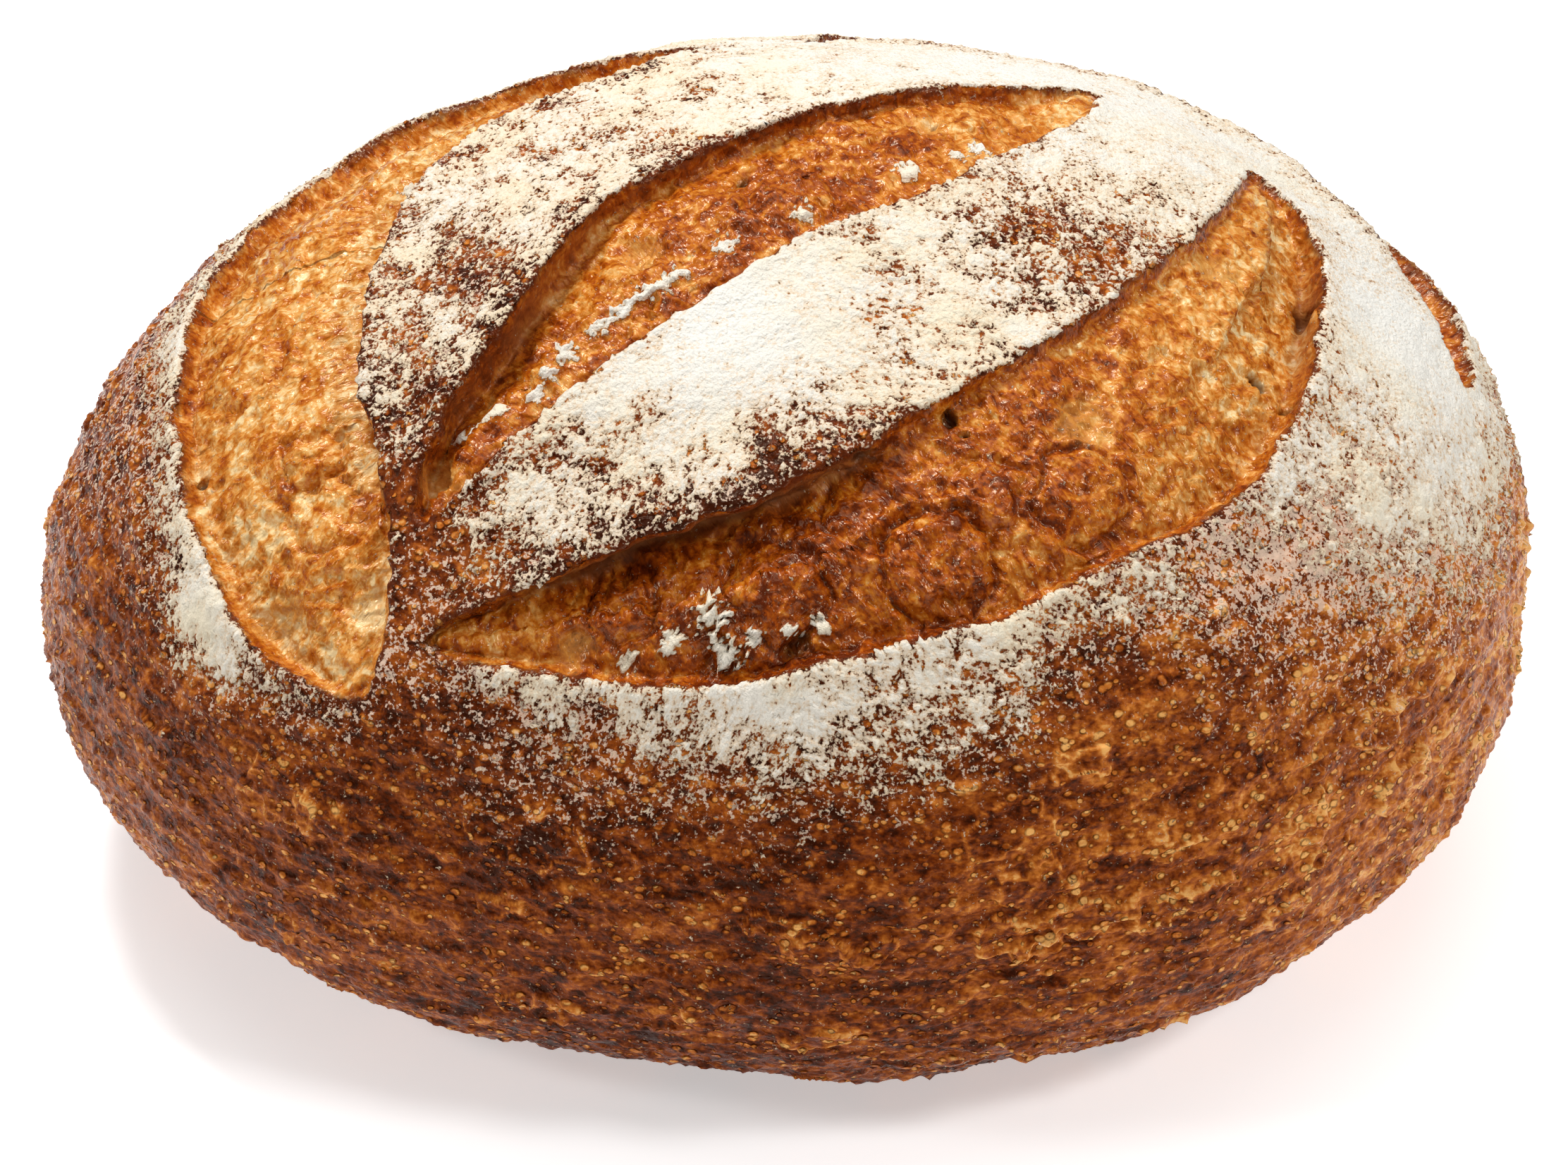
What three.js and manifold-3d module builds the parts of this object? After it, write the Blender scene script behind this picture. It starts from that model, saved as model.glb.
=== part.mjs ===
// A sourdough loaf: one baked solid that rests on the flat spot where it sat on the baking stone.
// Millimetres, +Z up, +X along the loaf. The origin is the middle of the bounding box's bottom face.
// The crust is a domed shape with a rounded underside. Four blade scores have opened in it, and the
// dough that rose in each opening lies a little lower than the crust's edge around it.
import * as THREE from "three";
import { mergeVertices } from "three/addons/utils/BufferGeometryUtils.js";
import Module from "manifold-3d";

// The crust's overall shape.
const LENGTH = 250; // along X at the widest line, before the lobes below
const WIDTH = 210; // along Y at the widest line, before the lobes below
const HEIGHT = 130; // resting face to crown
const GIRTH_HEIGHT = 48; // the widest line above the resting face
const CROWN_POWER = 2.0; // 2 is an elliptical dome, more is a flatter crown
const UNDERSIDE_POWER = 2.65; // more is a squarer edge under the loaf
const SETTLE = 8; // how much of the underside's curve is pressed flat where the loaf rests
const CROWN_SHIFT = new THREE.Vector2(3, -0.5); // the crown leans this far from the base's middle
// Gentle lobes of the plan outline: how many, and the radius's cosine and sine share.
const LOBES = [
  { count: 3, cosine: -0.008, sine: -0.005 },
  { count: 4, cosine: -0.001, sine: 0.012 },
];

// The scores. Each outline is a closed curve on the crust, through points [u, v, drop]: u and v run
// from 0 at the crown to 1 at the widest line, along +X and +Y, and drop is how many millimetres
// the dough inside lies below the crust's edge there.
const SCORES = {
  left_crescent: [
    [-0.5, -0.565, 2], [-0.58, -0.48, 3], [-0.605, -0.36, 3], [-0.605, -0.22, 3],
    [-0.59, -0.06, 3], [-0.565, 0.08, 3], [-0.49, 0.21, 3], [-0.4, 0.275, 3],
    [-0.29, 0.3, 3], [-0.18, 0.325, 3], [-0.08, 0.325, 2], [-0.13, 0.255, 3],
    [-0.2, 0.195, 4], [-0.27, 0.155, 4], [-0.33, 0.08, 5], [-0.355, -0.02, 5],
    [-0.375, -0.11, 5], [-0.395, -0.21, 5], [-0.4, -0.32, 4], [-0.415, -0.42, 3],
    [-0.45, -0.52, 2],
  ],
  upper_diagonal: [
    [-0.38, -0.395, 4], [-0.375, -0.34, 8], [-0.34, -0.27, 9], [-0.29, -0.21, 8],
    [-0.24, -0.135, 6], [-0.18, -0.06, 4], [-0.11, 0, 3], [-0.03, 0.06, 3],
    [0.05, 0.11, 3], [0.13, 0.145, 3], [0.21, 0.175, 2], [0.275, 0.2, 2],
    [0.225, 0.09, 2], [0.16, 0.01, 3], [0.09, -0.065, 3], [0, -0.135, 3],
    [-0.09, -0.205, 3], [-0.17, -0.26, 3], [-0.25, -0.315, 3], [-0.32, -0.37, 3],
  ],
  lower_diagonal: [
    [-0.405, -0.53, 5], [-0.36, -0.51, 6], [-0.29, -0.5, 8], [-0.21, -0.475, 9],
    [-0.11, -0.45, 9], [0, -0.41, 8], [0.09, -0.35, 6], [0.17, -0.275, 4],
    [0.25, -0.175, 4], [0.32, -0.06, 3], [0.37, 0.04, 3], [0.41, 0.125, 2],
    [0.455, 0.06, 4], [0.475, -0.03, 7], [0.47, -0.14, 6], [0.455, -0.25, 4],
    [0.4, -0.38, 3], [0.31, -0.46, 2], [0.21, -0.55, 2], [0.09, -0.605, 3],
    [-0.05, -0.65, 3], [-0.18, -0.65, 3], [-0.3, -0.605, 3], [-0.385, -0.565, 4],
  ],
  right_crescent: [
    [0.68, -0.03, 2], [0.605, 0.045, 5], [0.55, 0.1, 5], [0.46, 0.22, 5],
    [0.34, 0.33, 5], [0.2, 0.395, 5], [0.08, 0.395, 5], [0, 0.35, 3],
    [0.03, 0.44, 4], [0.14, 0.53, 4], [0.3, 0.545, 3], [0.47, 0.46, 3],
    [0.61, 0.31, 3], [0.69, 0.15, 3], [0.71, 0.03, 3],
  ],
};
const DOUGH_RISE_WIDTH = 11; // how far in from the crust's edge the dough has risen by two thirds
const DOUGH_MIDDLE_DROP = 1; // how low the dough still lies in the middle of an opening

// The meshes' fineness.
const SPHERE_DETAIL = 16; // splits of each edge of the icosahedron that the loaf is mapped from
const CROWN_CROWDING = 0.72; // under 1 gathers the triangles towards the crown, where the scores are
const OUTLINE_STEPS_PER_POINT = 2;
const CUTTER_REACH = 20; // how far the score cutters pass the crown, and start below the widest line

const wasm = await Module();
wasm.setup();

// The point of the crust at u, v, before the underside is pressed flat.
function crustPoint(u, v) {
  const around = Math.atan2(v, u);
  const latitude = (Math.PI / 2) * (1 - Math.hypot(u, v));
  const rising = latitude >= 0;
  const power = 2 / (rising ? CROWN_POWER : UNDERSIDE_POWER);
  const out = Math.pow(Math.max(Math.cos(latitude), 0), power);
  const up = Math.pow(Math.abs(Math.sin(latitude)), power);
  const z = rising
    ? GIRTH_HEIGHT + (HEIGHT - GIRTH_HEIGHT) * up
    : GIRTH_HEIGHT - (GIRTH_HEIGHT + SETTLE) * up;
  const ellipse = 1 / Math.hypot((2 / LENGTH) * Math.cos(around), (2 / WIDTH) * Math.sin(around));
  const lobes = LOBES.reduce(
    (sum, { count, cosine, sine }) =>
      sum + cosine * Math.cos(count * around) + sine * Math.sin(count * around),
    1,
  );
  const lean = rising ? up : 0;
  return new THREE.Vector3(
    ellipse * lobes * out * Math.cos(around) + CROWN_SHIFT.x * lean,
    ellipse * lobes * out * Math.sin(around) + CROWN_SHIFT.y * lean,
    z,
  );
}

// A score's outline as samples { u, v, drop, point }, with point on the crust.
function sampleOutline(points) {
  const curve = new THREE.CatmullRomCurve3(
    points.map(([u, v, drop]) => new THREE.Vector3(u, v, drop)),
    true,
    "catmullrom",
  );
  const count = points.length * OUTLINE_STEPS_PER_POINT;
  return Array.from({ length: count }, (_, i) => {
    const { x: u, y: v, z: drop } = curve.getPoint(i / count);
    return { u, v, drop, point: crustPoint(u, v) };
  });
}

function isInside(u, v, outline) {
  let inside = false;
  outline.forEach((a, i) => {
    const b = outline[(i + 1) % outline.length];
    const crosses = a.v > v !== b.v > v;
    if (crosses && u < a.u + ((b.u - a.u) * (v - a.v)) / (b.v - a.v)) inside = !inside;
  });
  return inside;
}

// How far a point is from a closed outline on the crust.
function distanceToOutline(here, outline) {
  const nearest = new THREE.Vector3();
  const side = new THREE.Line3();
  return outline.reduce((least, { point }, i) => {
    side.set(point, outline[(i + 1) % outline.length].point);
    side.closestPointToPoint(here, true, nearest);
    return Math.min(least, here.distanceTo(nearest));
  }, Infinity);
}

// An outline's drop near a point on the crust, averaged so that it changes smoothly.
function dropNear(here, outline) {
  let weights = 0;
  let weighted = 0;
  for (const { point, drop } of outline) {
    const weight = 1 / (here.distanceToSquared(point) + 1) ** 2;
    weights += weight;
    weighted += weight * drop;
  }
  return weighted / weights;
}

// How far the dough lies below the crust at u, v: the outline's drop at an opening's edge and on
// under the crust, and less towards the opening's middle.
function doughDrop(u, v, outlines) {
  const here = crustPoint(u, v);
  const drops = outlines.map((outline) => {
    const edgeDrop = dropNear(here, outline);
    if (!isInside(u, v, outline)) return edgeDrop;
    const edgeShare = Math.exp(-distanceToOutline(here, outline) / DOUGH_RISE_WIDTH);
    return DOUGH_MIDDLE_DROP + (edgeDrop - DOUGH_MIDDLE_DROP) * edgeShare;
  });
  return Math.min(...drops);
}

// A closed sphere of triangles, with the u, v of each vertex: 0 at the crown, 2 under the loaf.
function makeSphere() {
  const sphere = new THREE.IcosahedronGeometry(1, SPHERE_DETAIL);
  sphere.deleteAttribute("normal");
  sphere.deleteAttribute("uv");
  const merged = mergeVertices(sphere, 1e-5);
  const position = merged.getAttribute("position");
  const places = [];
  for (let i = 0; i < position.count; i++) {
    const direction = new THREE.Vector3().fromBufferAttribute(position, i).normalize();
    const fromCrown = Math.acos(THREE.MathUtils.clamp(direction.z, -1, 1));
    const crowded = 2 * Math.atan(CROWN_CROWDING * Math.tan(fromCrown / 2));
    const around = Math.atan2(direction.y, direction.x);
    const reach = crowded / (Math.PI / 2);
    places.push([reach * Math.cos(around), reach * Math.sin(around)]);
  }
  return { geometry: merged, places };
}

function toSolid(geometry) {
  const plain = geometry.clone();
  plain.deleteAttribute("normal");
  plain.deleteAttribute("uv");
  const merged = mergeVertices(plain, 1e-4);
  return new wasm.Manifold(
    new wasm.Mesh({
      numProp: 3,
      vertProperties: merged.getAttribute("position").array,
      triVerts: new Uint32Array(merged.index.array),
    }),
  );
}

function toGeometry(solid) {
  const { vertProperties, triVerts } = solid.getMesh();
  return new THREE.BufferGeometry()
    .setAttribute("position", new THREE.BufferAttribute(vertProperties, 3))
    .setIndex(new THREE.BufferAttribute(triVerts, 1));
}

// The whole loaf's crust, unscored, and under it the dough that shows in the openings.
function makeCrustAndDough(outlines) {
  const { geometry: crust, places } = makeSphere();
  const position = crust.getAttribute("position");
  places.forEach(([u, v], i) => position.setXYZ(i, ...crustPoint(u, v)));
  crust.computeVertexNormals();
  const dough = crust.clone();
  const sunk = dough.getAttribute("position");
  places.forEach(([u, v], i) => {
    const normal = new THREE.Vector3().fromBufferAttribute(crust.getAttribute("normal"), i);
    const point = new THREE.Vector3().fromBufferAttribute(position, i);
    point.addScaledVector(normal, -doughDrop(u, v, outlines));
    sunk.setXYZ(i, ...point);
  });
  return [toSolid(crust), toSolid(dough)];
}

// An upright cutter through the crust along one score's outline.
function makeCutter(outline) {
  const shape = new THREE.Shape(outline.map(({ point }) => new THREE.Vector2(point.x, point.y)));
  const cutter = new THREE.ExtrudeGeometry(shape, {
    depth: HEIGHT + 2 * CUTTER_REACH - GIRTH_HEIGHT,
    bevelEnabled: false,
  });
  return toSolid(cutter.translate(0, 0, GIRTH_HEIGHT - CUTTER_REACH));
}

// Everything under the resting face.
function makeGround() {
  const slab = new THREE.BoxGeometry(2 * LENGTH, 2 * WIDTH, 2 * GIRTH_HEIGHT);
  return toSolid(slab.translate(0, 0, -GIRTH_HEIGHT));
}

function makeLoaf() {
  const outlines = Object.values(SCORES).map(sampleOutline);
  const [crust, dough] = makeCrustAndDough(outlines);
  const scored = outlines.reduce((solid, outline) => solid.subtract(makeCutter(outline)), crust);
  const geometry = toGeometry(scored.add(dough).subtract(makeGround()));
  geometry.computeBoundingBox();
  const middle = geometry.boundingBox.getCenter(new THREE.Vector3());
  geometry.translate(-middle.x, -middle.y, 0);
  geometry.computeVertexNormals();
  const crustMaterial = new THREE.MeshStandardMaterial({
    color: 0x9a5a24,
    roughness: 0.6,
    metalness: 0,
  });
  const loaf = new THREE.Mesh(geometry, crustMaterial);
  loaf.name = "loaf";
  return loaf;
}

const sourdoughLoaf = new THREE.Group();
sourdoughLoaf.add(makeLoaf());

export default sourdoughLoaf;
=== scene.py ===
"""The looks of one sourdough loaf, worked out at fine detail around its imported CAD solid.

The loaf is one closed skin of small faces. Its crust follows the CAD's dome, and each blade score
opens into risen dough under a raised ear. Blisters, flour clumps, torn edges, strands and bubbles
are real relief. Shape work is in millimetres and the finished mesh is in metres.
"""

import math

import bpy
import numpy as np
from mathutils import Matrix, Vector


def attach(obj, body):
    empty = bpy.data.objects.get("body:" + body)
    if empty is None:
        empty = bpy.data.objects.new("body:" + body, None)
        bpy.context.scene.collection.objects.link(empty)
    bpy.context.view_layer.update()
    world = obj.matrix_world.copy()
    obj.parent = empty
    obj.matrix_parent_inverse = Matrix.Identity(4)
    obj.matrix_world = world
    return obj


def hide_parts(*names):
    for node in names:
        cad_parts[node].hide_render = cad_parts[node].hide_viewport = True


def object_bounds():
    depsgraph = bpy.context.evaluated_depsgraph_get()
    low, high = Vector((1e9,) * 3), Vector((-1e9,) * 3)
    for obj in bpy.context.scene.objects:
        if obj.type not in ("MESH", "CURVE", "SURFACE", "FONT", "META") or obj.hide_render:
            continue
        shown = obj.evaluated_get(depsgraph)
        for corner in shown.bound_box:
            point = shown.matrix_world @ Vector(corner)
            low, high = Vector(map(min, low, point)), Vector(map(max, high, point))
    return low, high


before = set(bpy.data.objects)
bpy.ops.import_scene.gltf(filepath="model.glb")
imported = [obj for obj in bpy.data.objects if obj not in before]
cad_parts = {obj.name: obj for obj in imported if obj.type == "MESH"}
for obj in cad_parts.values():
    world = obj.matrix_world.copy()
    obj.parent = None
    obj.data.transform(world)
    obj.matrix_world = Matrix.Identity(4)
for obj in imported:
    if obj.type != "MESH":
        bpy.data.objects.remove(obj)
cad_low, cad_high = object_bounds()
MM = 0.001

# ---------------------------------------------------------------- The loaf's shape, in millimetres

LENGTH, WIDTH, HEIGHT = (np.array(cad_high) - np.array(cad_low)) / MM
GIRTH_HEIGHT = 48  # the widest line above the resting face
CROWN_POWER = 2.0  # 2 is an elliptical dome, more is a flatter crown
UNDERSIDE_POWER = 2.65  # more is a squarer edge under the loaf
SETTLE = 8  # how much of the underside's curve is pressed flat where the loaf rests
CROWN_SHIFT = (3, -0.5)  # the crown leans this far from the base's middle
LOBES = [(3, -0.008, -0.005), (4, -0.001, 0.012)]  # count, cosine and sine share of the radius

# A place on the crust is u, v: 0 at the crown, 1 at the widest line, along +X and +Y.
# Each score is a closed curve through [u, v, drop, ear]: how many millimetres the dough inside lies
# below the crust's edge there, and how far the crust's edge overhangs it.
SCORES = {
    "left_crescent": [
        [-0.5, -0.565, 1, 0], [-0.58, -0.48, 3, 0.8], [-0.605, -0.36, 3, 1.2],
        [-0.605, -0.22, 3, 1.2], [-0.59, -0.06, 3, 1], [-0.565, 0.08, 3, 1],
        [-0.49, 0.21, 3, 1], [-0.4, 0.275, 3, 1], [-0.29, 0.3, 3, 1], [-0.18, 0.325, 3, 0.6],
        [-0.08, 0.325, 1, 0], [-0.13, 0.255, 3, 0.6], [-0.2, 0.195, 4, 1], [-0.27, 0.155, 4, 1],
        [-0.33, 0.08, 5, 1], [-0.355, -0.02, 5, 0.8], [-0.375, -0.11, 5, 0.8],
        [-0.395, -0.21, 5, 0.8], [-0.4, -0.32, 4, 0.5], [-0.415, -0.42, 3, 0.3],
        [-0.45, -0.52, 2, 0.2],
    ],
    "upper_diagonal": [
        [-0.38, -0.395, 3, 0], [-0.375, -0.34, 8, 2.4], [-0.34, -0.27, 9, 3.2],
        [-0.29, -0.21, 8, 2.8], [-0.24, -0.135, 6, 1.8], [-0.18, -0.06, 3.5, 1.4],
        [-0.11, 0, 2.5, 1.2], [-0.03, 0.06, 2, 1.2], [0.05, 0.11, 2, 1.2], [0.13, 0.145, 2, 1],
        [0.21, 0.175, 2, 0.6], [0.275, 0.2, 1, 0], [0.225, 0.09, 2, 0.2], [0.16, 0.01, 3, 0.3],
        [0.09, -0.065, 3, 0.3], [0, -0.135, 3, 0.3], [-0.09, -0.205, 3, 0.3],
        [-0.17, -0.26, 3, 0.3], [-0.25, -0.315, 3, 0.3], [-0.32, -0.37, 3, 0.3],
    ],
    "lower_diagonal": [
        [-0.405, -0.53, 3, 0], [-0.36, -0.51, 6, 2], [-0.29, -0.5, 8, 3.4],
        [-0.21, -0.475, 9, 4.2], [-0.11, -0.45, 8, 4], [0, -0.41, 5, 2.4],
        [0.09, -0.35, 2.5, 1], [0.17, -0.275, 1.8, 0.5], [0.25, -0.175, 1.6, 0.4],
        [0.32, -0.06, 1.6, 0.4], [0.37, 0.04, 1.6, 0.4], [0.41, 0.125, 1, 0],
        [0.455, 0.06, 3, 1], [0.475, -0.03, 5, 1.8], [0.47, -0.14, 5, 1.6],
        [0.455, -0.25, 4, 1], [0.4, -0.38, 3, 0.8], [0.31, -0.46, 2, 0.6],
        [0.21, -0.55, 2.5, 0.6], [0.09, -0.605, 3, 0.6], [-0.05, -0.65, 3, 0.6],
        [-0.18, -0.65, 3, 0.6], [-0.3, -0.605, 3, 0.4], [-0.385, -0.565, 3, 0.3],
    ],
    "right_crescent": [
        [0.68, -0.03, 1, 0], [0.605, 0.045, 5, 1.4], [0.55, 0.1, 5, 2], [0.46, 0.22, 5, 2.2],
        [0.34, 0.33, 5, 2.2], [0.2, 0.395, 5, 2], [0.08, 0.395, 5, 1.4], [0, 0.35, 1, 0],
        [0.03, 0.44, 4, 0.4], [0.14, 0.53, 4, 0.6], [0.3, 0.545, 3, 0.6], [0.47, 0.46, 3, 0.6],
        [0.61, 0.31, 3, 0.6], [0.69, 0.15, 3, 0.6], [0.71, 0.03, 3, 0.3],
    ],
}
DOUGH_RISE_WIDTH = 11  # how far in from the crust's edge the dough has risen by two thirds
DOUGH_MIDDLE_DROP = 1  # how low the dough still lies in the middle of an opening

# The section across a score's edge, against the distance in from it, as a share of its width.
EDGE_REACH = 5  # the section's half width with no ear
EAR_REACH = 2.2  # and how much each millimetre of ear adds
SECTION_SIDEWAYS = [  # towards the dough, as a share of the ear
    (-1, 0), (-0.5, 0.3), (-0.12, 0.95), (0, 1), (0.1, 0.5), (0.22, -0.5), (0.38, -1.1),
    (0.55, -0.9), (0.8, -0.3), (1, 0),
]
SECTION_LIP = [(-1, 0), (-0.6, 0.25), (-0.2, 0.85), (-0.05, 1), (0.03, 0.7), (0.12, 0), (1, 0)]
SECTION_DROP = [(-1, 0), (0, 0), (0.06, 0.12), (0.2, 0.5), (0.36, 1), (0.46, 1.08), (0.7, 1), (1, 1)]
LIP_RAISE, EAR_RAISE = 0.5, 0.5  # the crust's edge stands this proud, and more with its ear

# Big bubbles in the dough: u, v, radius, dome height and how deep the crease round it is.
BUBBLES = [
    (0.126, -0.505, 9, 1.2, 0.8), (0.262, -0.4, 7.5, 1.2, 0.8), (0.255, -0.315, 6.5, -1.4, 0.3),
    (-0.034, -0.55, 8, 1, 0.7), (-0.2, -0.55, 6, 0.8, 0.6), (0.17, -0.42, 6, 0.9, 0.5),
    (0.05, -0.46, 6, 0.6, 0.6), (0.365, -0.07, 5, -0.9, 0.2), (0.33, -0.25, 7, 0.6, 0.5),
    (-0.255, -0.59, 3.5, -1.6, 0.2), (-0.472, -0.34, 7, 0.9, 0.6), (-0.469, -0.27, 5, 0.8, 0.7),
    (-0.555, -0.433, 4.5, -1.2, 0.3), (-0.46, -0.46, 4, -0.8, 0.3), (-0.52, -0.12, 8, 0.7, 0.5),
    (-0.36, -0.343, 4, -1.2, 0.2), (-0.152, -0.121, 4.5, -1.8, 0.2), (0.1, 0.075, 4, -1.6, 0.3),
    (-0.02, -0.06, 8, 0.7, 0.5), (0.35, 0.43, 8, 1, 0.6), (0.55, 0.28, 7, 1, 0.6),
]
# Torn bits of dough that stand up: u, v, radius and height.
TORN_BITS = [
    (0.55, 0.105, 2.5, 4), (0.59, 0.085, 2, 3), (0.63, 0.06, 1.6, 2.5), (0.52, 0.15, 1.6, 2),
    (-0.5, -0.56, 2.5, 1.2),
]
# Holes in the dough: u, v, radius and depth.
HOLES = [
    (0.132, -0.343, 1.5, 2.5), (0.15, -0.35, 0.8, 1.5), (0.418, -0.189, 1.9, 3), (0.461, -0.07, 2.2, 4),
    (0.45, -0.207, 1.8, 3), (-0.589, -0.235, 1.6, 2.5), (-0.059, -0.026, 1.8, 2.5),
    (-0.011, -0.609, 2.4, 1.6), (0.11, 0.08, 1.4, 2), (-0.41, -0.355, 1, 1.5), (0.05, -0.4, 2, 2),
    (-0.05, -0.43, 1.4, 2), (0.5, 0.33, 2, 3), (0.3, 0.45, 1.6, 3),
]

GRID = 700  # squares along each side of the folded square under the mesh


def smooth(value, low, high):
    """0 at low and 1 at high, with an S curve between. low may be the larger."""
    share = np.clip((value - low) / (high - low), 0, 1)
    return share * share * (3 - 2 * share)


def unit(vectors):
    return vectors / np.maximum(np.linalg.norm(vectors, axis=-1, keepdims=True), 1e-9)


# ---------------------------------------------------------------- Noise, the same in every run

CORNERS = np.array([(x, y, z) for x in (0, 1) for y in (0, 1) for z in (0, 1)], np.int32)
GRADIENTS = np.array(
    [(x, y, 0) for x in (-1, 1) for y in (-1, 1)]
    + [(x, 0, z) for x in (-1, 1) for z in (-1, 1)]
    + [(0, y, z) for y in (-1, 1) for z in (-1, 1)]
    + [(1, 1, 0), (-1, 1, 0), (0, -1, 1), (0, -1, -1)],
    np.float32,
)
MIX_X, MIX_Y, MIX_Z, MIX_SEED = (np.uint32(n) for n in (0x8DA6B343, 0xD8163841, 0xCB1AB31F, 0x9E3779B9))


def scrambled(cells, seed):
    """A random 32-bit number for each whole-number cell."""
    wrapped = cells.astype(np.int64).astype(np.uint32)
    mixed = wrapped[:, 0] * MIX_X + wrapped[:, 1] * MIX_Y + wrapped[:, 2] * MIX_Z
    mixed = mixed + np.uint32(seed * int(MIX_SEED) & 0xFFFFFFFF)
    for shift, factor in ((15, 0x2C1B3C6D), (12, 0x297A2D39)):
        mixed = (mixed ^ (mixed >> np.uint32(shift))) * np.uint32(factor)
    return mixed ^ (mixed >> np.uint32(15))


def perlin(places, size, seed):
    """Smooth noise from about -1 to 1, with lumps size millimetres apart."""
    scaled = places / size
    corner = np.floor(scaled).astype(np.int32)
    inner = (scaled - corner).astype(np.float32)
    fade = inner**3 * (inner * (inner * 6 - 15) + 10)
    total = np.zeros(len(places), np.float32)
    for step in CORNERS:
        slope = GRADIENTS[scrambled(corner + step, seed) & np.uint32(15)]
        weight = np.prod(np.where(step, fade, 1 - fade), axis=1)
        total += weight * np.einsum("ij,ij->i", slope, inner - step)
    return 1.4 * total


def fractal(places, size, seed, octaves=3):
    """Noise of this size with finer and weaker noise added."""
    layers = [0.5**k * perlin(places, size / 2**k, seed + k) for k in range(octaves)]
    return sum(layers) / sum(0.5**k for k in range(octaves))


def ridges(places, size, seed):
    """Sharp crests from -1 to 1."""
    return 1 - 2 * np.abs(perlin(places, size, seed))


def swirl(places, size, seed):
    """A smooth random shift for each place."""
    return np.stack([perlin(places, size, seed + k) for k in range(3)], 1)


FAR = 9  # as a share of a blob's radius


def blobs(places, size, seed, share=1.0, radii=(0.25, 0.55)):
    """Round blobs scattered size apart: the distance from the relatively nearest one's middle, over
    its radius, and that blob's own random number from 0 to 1."""
    scaled = places / size
    nearest = np.rint(scaled).astype(np.int32)
    away = np.full(len(places), FAR, np.float32)
    luck = np.zeros(len(places), np.float32)
    for step in CORNERS:
        cell = nearest + step - 1
        first, second = scrambled(cell, seed), scrambled(cell, seed + 101)
        shifts = np.stack([first & 255, first >> 8 & 255, first >> 16 & 255], 1) / 255 - 0.5
        offset = scaled - (cell + 0.5 + 0.8 * shifts)
        chance = (second & 1023) / 1023
        radius = radii[0] + (radii[1] - radii[0]) * (second >> 10 & 1023) / 1023
        here = np.where(chance < share, np.linalg.norm(offset, axis=1) / radius, FAR)
        nearer = here < away
        away[nearer] = here[nearer]
        luck[nearer] = ((second >> 20 & 1023) / 1023)[nearer]
    return away, luck


def cap(away):
    """A round cap, 1 at a blob's middle and 0 at its rim."""
    return np.clip(1 - away**2, 0, 1)


# ---------------------------------------------------------------- The skin and the scores

def crust_point(reach, around):
    """The crust's point at this reach, from 0 at the crown to 2 under the loaf, and angle."""
    latitude = math.pi / 2 * (1 - reach)
    rising = latitude >= 0
    power = 2 / np.where(rising, CROWN_POWER, UNDERSIDE_POWER)
    out = np.maximum(np.cos(latitude), 0) ** power
    up = np.abs(np.sin(latitude)) ** power
    height = np.where(
        rising,
        GIRTH_HEIGHT + (HEIGHT - GIRTH_HEIGHT) * up,
        np.maximum(GIRTH_HEIGHT - (GIRTH_HEIGHT + SETTLE) * up, 0),
    )
    radius = 1 / np.hypot(2 / LENGTH * np.cos(around), 2 / WIDTH * np.sin(around))
    swell = sum(a * np.cos(count * around) + b * np.sin(count * around) for count, a, b in LOBES)
    radius = radius * (1 + swell)
    lean = np.where(rising, up, 0)
    return np.stack(
        [
            radius * out * np.cos(around) + CROWN_SHIFT[0] * lean,
            radius * out * np.sin(around) + CROWN_SHIFT[1] * lean,
            height,
        ],
        axis=-1,
    )


def crust_at(u, v):
    """The crust's point at this place."""
    return crust_point(np.hypot(u, v), np.arctan2(v, u))


def crust_normal_at(u, v):
    """The crust's outward direction there."""
    step = 0.004
    along_u = crust_at(u + step, v) - crust_at(u - step, v)
    along_v = crust_at(u, v + step) - crust_at(u, v - step)
    return unit(np.cross(along_u, along_v))


def reach_at_level(levels):
    """Spreads the mesh evenly over the loaf, with less of it on the hidden underside. A level runs
    from 0 in the middle of the folded square to 2 at its corners."""
    reach = np.linspace(0, 2, 400)
    ring = crust_point(reach, np.full_like(reach, math.pi / 4))
    radius = np.hypot(ring[:, 0], ring[:, 1])
    slant = np.linalg.norm(np.gradient(ring, axis=0), axis=1)
    weight = 1 - 0.8 * smooth(reach, 1.35, 1.6)
    area = np.concatenate([[0], np.cumsum((radius * slant * weight)[1:])])
    area /= area[-1]
    level = np.where(area < 0.5, np.sqrt(2 * area), 2 - np.sqrt(np.maximum(2 * (1 - area), 0)))
    return np.interp(levels, level, reach)


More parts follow.
